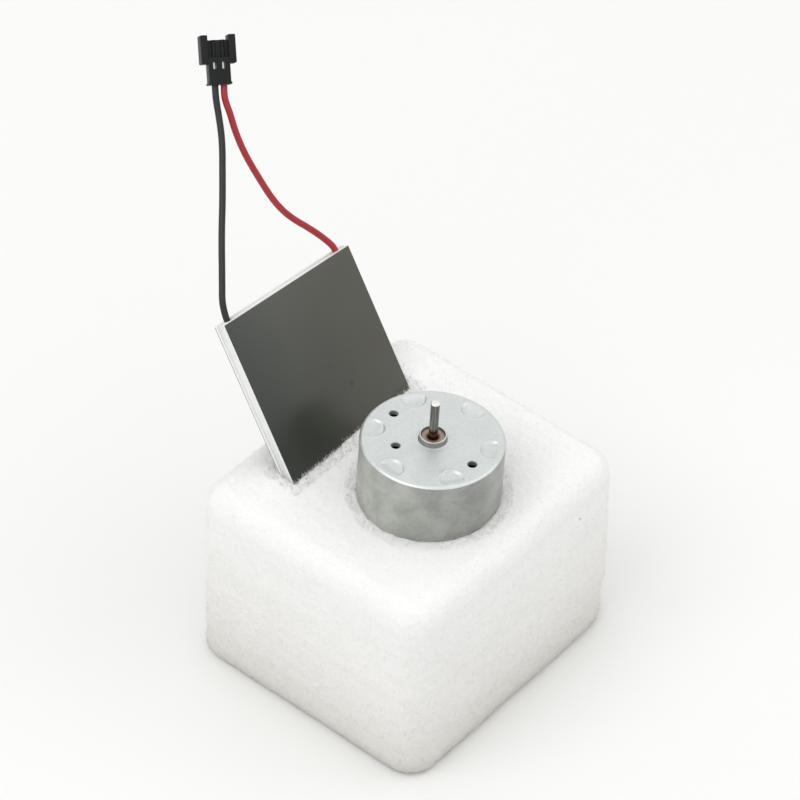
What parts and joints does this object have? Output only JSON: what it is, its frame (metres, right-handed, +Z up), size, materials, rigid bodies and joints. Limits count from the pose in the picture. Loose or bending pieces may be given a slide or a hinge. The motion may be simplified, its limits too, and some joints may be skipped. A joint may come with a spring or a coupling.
{
  "type": "energy harvesting robot drive kit",
  "caption": "Flat round DC motor standing shaft-up and a square generator plate with a red and a black lead to a small connector, both held in a soft white foam block.",
  "frame": {"origin": "centre of the foam block's underside", "axes": "+Z up; the plate's front face looks towards -Y and leans back towards +Y; +X runs along the plate's width"},
  "size_m": [0.0716, 0.1085, 0.1256],
  "materials": {
    "foam": "matte",
    "can_steel": "satin",
    "bronze": "matte",
    "cap_plastic": "matte",
    "ferrite": "matte",
    "carbon": "matte",
    "spring_brass": "satin",
    "shaft_steel": "polished",
    "core_steel": "satin",
    "copper": "satin",
    "sleeve_plastic": "matte",
    "varistor": "matte",
    "washer_plastic": "matte",
    "graphite_sheet": "satin",
    "white_ceramic": "satin",
    "pellet_alloy": "satin",
    "seal_white": "satin",
    "solder": "satin",
    "black_insulation": "satin",
    "red_insulation": "satin",
    "connector_black": "satin",
    "tin": "satin"
  },
  "bodies": {
    "foam": {"foam_base_layer": "foam", "foam_top_layer": "foam"},
    "motor": {"motor_can": "can_steel", "front_bearing": "bronze", "end_cap": "cap_plastic", "rear_bearing": "bronze", "magnet_ring": "ferrite", "brushes": "carbon", "brush_springs": "spring_brass", "motor_terminals": "spring_brass"},
    "rotor": {"motor_shaft": "shaft_steel", "rotor_core": "core_steel", "windings": "copper", "commutator": "copper", "commutator_sleeve": "sleeve_plastic", "varistor_ring": "varistor", "front_washer": "washer_plastic", "rear_washer": "washer_plastic"},
    "plate": {"plate_front_sheet": "graphite_sheet", "plate_front_ceramic": "white_ceramic", "front_bars": "copper", "p_pellets": "pellet_alloy", "n_pellets": "pellet_alloy", "rear_bars": "copper", "plate_rear_ceramic": "white_ceramic", "plate_rear_sheet": "graphite_sheet", "plate_seal": "seal_white", "lead_tails": "solder", "black_lead": "black_insulation", "red_lead": "red_insulation", "connector_housing": "connector_black", "connector_contacts": "tin"}
  },
  "joints": [
    {"name": "motor_lift", "type": "slide", "parent": "foam", "child": "motor", "axis": [0.0523, 0, 0.9986], "range_m": [0, 0.015]},
    {"name": "rotor_spin", "type": "hinge", "parent": "motor", "child": "rotor", "pos_m": [-0.002, -0.007, 0.0465], "axis": [0.0523, 0, 0.9986], "continuous": true},
    {"name": "plate_lift", "type": "slide", "parent": "foam", "child": "plate", "axis": [0.0769, 0.587, 0.8059], "range_m": [0, 0.015]}
  ]
}
